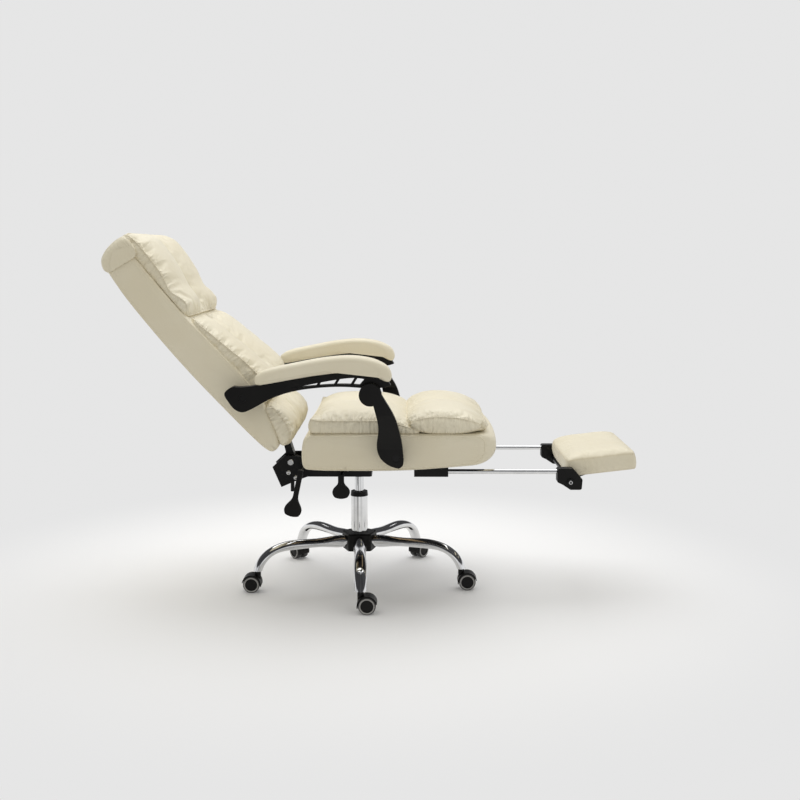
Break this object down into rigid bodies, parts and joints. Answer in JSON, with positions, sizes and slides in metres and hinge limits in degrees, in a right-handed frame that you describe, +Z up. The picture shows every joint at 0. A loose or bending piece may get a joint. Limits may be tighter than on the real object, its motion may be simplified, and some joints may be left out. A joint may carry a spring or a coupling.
{
  "type": "reclining office chair with footrest",
  "caption": "Cream upholstered reclining office chair on a chromed star base with casters, linked arms and a pull-out footrest, shown fully reclined.",
  "frame": {"origin": "on the floor, on the axis of the gas lift column", "axes": "+X to the front of the chair, +Y to the sitter's left, +Z up"},
  "size_m": [1.5079, 0.6852, 1.0556],
  "materials": {
    "chrome": "polished",
    "black_plastic": "satin",
    "wheel_plastic": "satin",
    "black_steel": "satin",
    "bright_steel": "satin",
    "plywood": "matte",
    "cream_upholstery": "satin"
  },
  "bodies": {
    "base": {"base_hub": "black_plastic", "base_leg_1": "chrome", "base_leg_2": "chrome", "base_leg_3": "chrome", "base_leg_4": "chrome", "base_leg_5": "chrome", "column_tube": "chrome", "column_bush": "black_plastic", "thrust_bearing": "bright_steel"},
    "lift_spindle": {"lift_rod": "bright_steel"},
    "seat": {"lift_cylinder": "chrome", "mechanism_housing": "black_steel", "seat_board": "plywood", "seat_base": "cream_upholstery", "seat_rear_pad": "cream_upholstery", "seat_front_bolster": "cream_upholstery", "footrest_guide_left": "black_plastic", "footrest_guide_right": "black_plastic", "recline_pin": "bright_steel", "strut_bolts": "bright_steel"},
    "release_pin": {"lift_release_pin": "bright_steel"},
    "height_lever": {"height_lever": "black_plastic"},
    "recline_lever": {"recline_lever": "black_plastic"},
    "back": {"back_bracket": "black_steel", "back_panel": "plywood", "back_shell": "cream_upholstery", "headrest_pillow": "cream_upholstery", "back_pillow": "cream_upholstery", "lower_back_pad": "cream_upholstery", "arm_bolts": "bright_steel"},
    "arm_left": {"arm_frame_left": "black_plastic", "arm_pad_left": "cream_upholstery"},
    "arm_right": {"arm_frame_right": "black_plastic", "arm_pad_right": "cream_upholstery"},
    "strut_left": {"arm_strut_left": "black_plastic", "arm_joint_pin_left": "bright_steel"},
    "strut_right": {"arm_strut_right": "black_plastic", "arm_joint_pin_right": "bright_steel"},
    "footrest_frame": {"footrest_rail_left": "chrome", "footrest_rail_right": "chrome", "footrest_bracket_left": "black_plastic", "footrest_bracket_right": "black_plastic", "footrest_shaft": "bright_steel"},
    "footrest": {"footrest_plate": "black_steel", "footrest_cushion": "cream_upholstery"},
    "caster_1": {"caster_1_housing": "black_plastic"},
    "caster_1_left": {"caster_1_wheel_left": "wheel_plastic"},
    "caster_1_right": {"caster_1_wheel_right": "wheel_plastic"},
    "caster_2": {"caster_2_housing": "black_plastic"},
    "caster_2_left": {"caster_2_wheel_left": "wheel_plastic"},
    "caster_2_right": {"caster_2_wheel_right": "wheel_plastic"},
    "caster_3": {"caster_3_housing": "black_plastic"},
    "caster_3_left": {"caster_3_wheel_left": "wheel_plastic"},
    "caster_3_right": {"caster_3_wheel_right": "wheel_plastic"},
    "caster_4": {"caster_4_housing": "black_plastic"},
    "caster_4_left": {"caster_4_wheel_left": "wheel_plastic"},
    "caster_4_right": {"caster_4_wheel_right": "wheel_plastic"},
    "caster_5": {"caster_5_housing": "black_plastic"},
    "caster_5_left": {"caster_5_wheel_left": "wheel_plastic"},
    "caster_5_right": {"caster_5_wheel_right": "wheel_plastic"}
  },
  "joints": [
    {"name": "caster_1_swivel", "type": "hinge", "parent": "base", "child": "caster_1", "pos_m": [0.01667, -0.31806, 0.064], "axis": [0, 0, 1], "continuous": true},
    {"name": "caster_1_left_spin", "type": "hinge", "parent": "caster_1", "child": "caster_1_left", "pos_m": [0.03467, -0.31806, 0.025], "axis": [0, 1, 0], "continuous": true},
    {"name": "caster_1_right_spin", "type": "hinge", "parent": "caster_1", "child": "caster_1_right", "pos_m": [0.03467, -0.31806, 0.025], "axis": [0, 1, 0], "continuous": true},
    {"name": "caster_2_swivel", "type": "hinge", "parent": "base", "child": "caster_2", "pos_m": [0.30765, -0.08243, 0.064], "axis": [0, 0, 1], "continuous": true},
    {"name": "caster_2_left_spin", "type": "hinge", "parent": "caster_2", "child": "caster_2_left", "pos_m": [0.32565, -0.08243, 0.025], "axis": [0, 1, 0], "continuous": true},
    {"name": "caster_2_right_spin", "type": "hinge", "parent": "caster_2", "child": "caster_2_right", "pos_m": [0.32565, -0.08243, 0.025], "axis": [0, 1, 0], "continuous": true},
    {"name": "caster_3_swivel", "type": "hinge", "parent": "base", "child": "caster_3", "pos_m": [0.17347, 0.26712, 0.064], "axis": [0, 0, 1], "continuous": true},
    {"name": "caster_3_left_spin", "type": "hinge", "parent": "caster_3", "child": "caster_3_left", "pos_m": [0.18504, 0.28091, 0.025], "axis": [-0.766, 0.6428, 0], "continuous": true},
    {"name": "caster_3_right_spin", "type": "hinge", "parent": "caster_3", "child": "caster_3_right", "pos_m": [0.18504, 0.28091, 0.025], "axis": [-0.766, 0.6428, 0], "continuous": true},
    {"name": "caster_4_swivel", "type": "hinge", "parent": "base", "child": "caster_4", "pos_m": [-0.20044, 0.24752, 0.064], "axis": [0, 0, 1], "continuous": true},
    {"name": "caster_4_left_spin", "type": "hinge", "parent": "caster_4", "child": "caster_4_left", "pos_m": [-0.21201, 0.26131, 0.025], "axis": [-0.766, -0.6428, 0], "continuous": true},
    {"name": "caster_4_right_spin", "type": "hinge", "parent": "caster_4", "child": "caster_4_right", "pos_m": [-0.21201, 0.26131, 0.025], "axis": [-0.766, -0.6428, 0], "continuous": true},
    {"name": "caster_5_swivel", "type": "hinge", "parent": "base", "child": "caster_5", "pos_m": [-0.29735, -0.11414, 0.064], "axis": [0, 0, 1], "continuous": true},
    {"name": "caster_5_left_spin", "type": "hinge", "parent": "caster_5", "child": "caster_5_left", "pos_m": [-0.31534, -0.11414, 0.025], "axis": [0, -1, 0], "continuous": true},
    {"name": "caster_5_right_spin", "type": "hinge", "parent": "caster_5", "child": "caster_5_right", "pos_m": [-0.31534, -0.11414, 0.025], "axis": [0, -1, 0], "continuous": true},
    {"name": "seat_swivel", "type": "hinge", "parent": "base", "child": "lift_spindle", "pos_m": [0, 0, 0.1], "axis": [0, 0, 1], "continuous": true},
    {"name": "seat_height", "type": "slide", "parent": "lift_spindle", "child": "seat", "axis": [0, 0, 1], "range_m": [-0.045, 0.04]},
    {"name": "height_lever_lift", "type": "hinge", "parent": "seat", "child": "height_lever", "pos_m": [-0.043, -0.0445, 0.364], "axis": [-1, 0, 0], "range_deg": [0, 5], "stiffness_Nm_per_rad": 3, "springref_deg": -5.73},
    {"name": "release_press", "type": "slide", "parent": "seat", "child": "release_pin", "axis": [0, 0, -1], "range_m": [0, 0.0042]},
    {"name": "recline_lever_lift", "type": "hinge", "parent": "seat", "child": "recline_lever", "pos_m": [-0.16, -0.056, 0.372], "axis": [-1, 0, 0], "range_deg": [0, 8], "stiffness_Nm_per_rad": 3, "springref_deg": -8.59},
    {"name": "recline", "type": "hinge", "parent": "seat", "child": "back", "pos_m": [-0.203, 0, 0.378], "axis": [0, 1, 0], "range_deg": [0, 30], "deforming": ["lower_back_pad"]},
    {"name": "arm_left_turn", "type": "hinge", "parent": "back", "child": "arm_left", "pos_m": [-0.3037, 0, 0.6048], "axis": [0, 1, 0], "range_deg": [-28.5, 0]},
    {"name": "arm_right_turn", "type": "hinge", "parent": "back", "child": "arm_right", "pos_m": [-0.3037, 0, 0.6048], "axis": [0, 1, 0], "range_deg": [-28.5, 0]},
    {"name": "strut_left_turn", "type": "hinge", "parent": "seat", "child": "strut_left", "pos_m": [0.1156, 0, 0.436], "axis": [0, 1, 0], "range_deg": [0, 39]},
    {"name": "strut_right_turn", "type": "hinge", "parent": "seat", "child": "strut_right", "pos_m": [0.1156, 0, 0.436], "axis": [0, 1, 0], "range_deg": [0, 39]},
    {"name": "footrest_slide", "type": "slide", "parent": "seat", "child": "footrest_frame", "axis": [1, 0, 0], "range_m": [-0.18, 0]},
    {"name": "footrest_flip", "type": "hinge", "parent": "footrest_frame", "child": "footrest", "pos_m": [0.611, 0, 0.353], "axis": [0, -1, 0], "range_deg": [0, 173]}
  ],
  "couplings": [
    {"joint": "arm_left_turn", "follows": "recline", "ratio": -0.922},
    {"joint": "arm_right_turn", "follows": "recline", "ratio": -0.922},
    {"joint": "strut_left_turn", "follows": "recline", "ratio": 1.266},
    {"joint": "strut_right_turn", "follows": "recline", "ratio": 1.266},
    {"joint": "release_press", "follows": "height_lever_lift", "m_per_rad": 0.0445}
  ]
}
